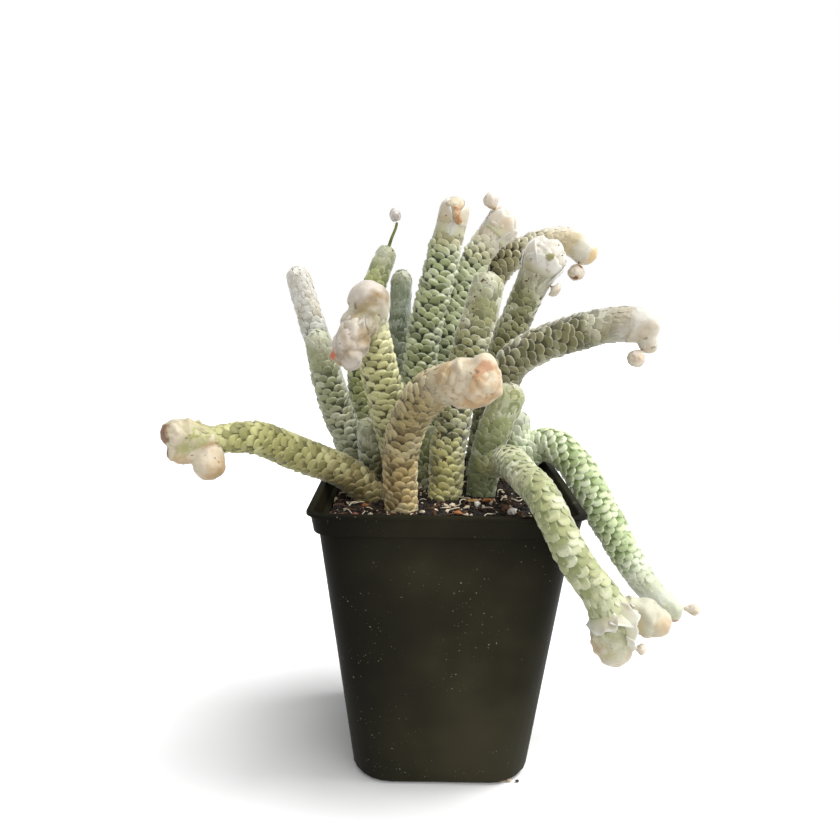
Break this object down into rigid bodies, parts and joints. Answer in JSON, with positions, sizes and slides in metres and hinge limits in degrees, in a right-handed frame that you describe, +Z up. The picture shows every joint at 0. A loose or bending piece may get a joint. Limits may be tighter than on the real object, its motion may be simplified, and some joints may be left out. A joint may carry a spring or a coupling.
{
  "type": "potted avonia",
  "caption": "Clump of thick scaly succulent stems with papery tips, growing in a small square plastic nursery pot.",
  "frame": {"origin": "middle of the pot's flat underside", "axes": "+Z up; the pot's sides face +X, -X, +Y and -Y, and its front side faces -Y"},
  "size_m": [0.1477, 0.107, 0.1622],
  "materials": {
    "black_plastic": "satin black, dusty",
    "dark_soil": "rough, fibrous",
    "green_scales": "fleshy stem under papery scales",
    "pale_paper": "dry and papery",
    "stalk_green": "smooth and fleshy",
    "perlite_white": "rough",
    "bark_brown": "dry, fibrous",
    "pebble_grey": "rough"
  },
  "bodies": {
    "root": {"bark_chip_1": "bark_brown", "bark_chip_2": "bark_brown", "bark_chip_3": "bark_brown", "dried_flower": "bark_brown", "dry_leaf": "bark_brown", "flower_bud": "pale_paper", "flower_stalk": "stalk_green", "grey_pebble": "pebble_grey", "perlite_1": "perlite_white", "perlite_2": "perlite_white", "perlite_3": "perlite_white", "perlite_4": "perlite_white", "perlite_5": "perlite_white", "perlite_6": "perlite_white", "pot": "black_plastic", "potting_mix": "dark_soil", "red_pebble": "bark_brown", "seed_capsule_1": "pale_paper", "seed_capsule_2": "pale_paper", "seed_capsule_3": "pale_paper", "seed_capsule_4": "pale_paper", "seed_capsule_5": "pale_paper", "seed_capsule_6": "pale_paper", "stem_back_lean": "green_scales", "stem_back_slim": "green_scales", "stem_centre_right": "green_scales", "stem_centre_tall": "green_scales", "stem_club": "green_scales", "stem_flowering": "green_scales", "stem_forked_front": "green_scales", "stem_forked_right": "green_scales", "stem_front_bowed": "green_scales", "stem_inner_stub": "green_scales", "stem_left_front": "green_scales", "stem_left_reach": "green_scales", "stem_left_stub": "green_scales", "stem_left_tall": "green_scales", "stem_nodding": "green_scales", "stem_right_arched": "green_scales", "stem_right_open": "green_scales", "stem_right_reach": "green_scales"}
  },
  "joints": []
}
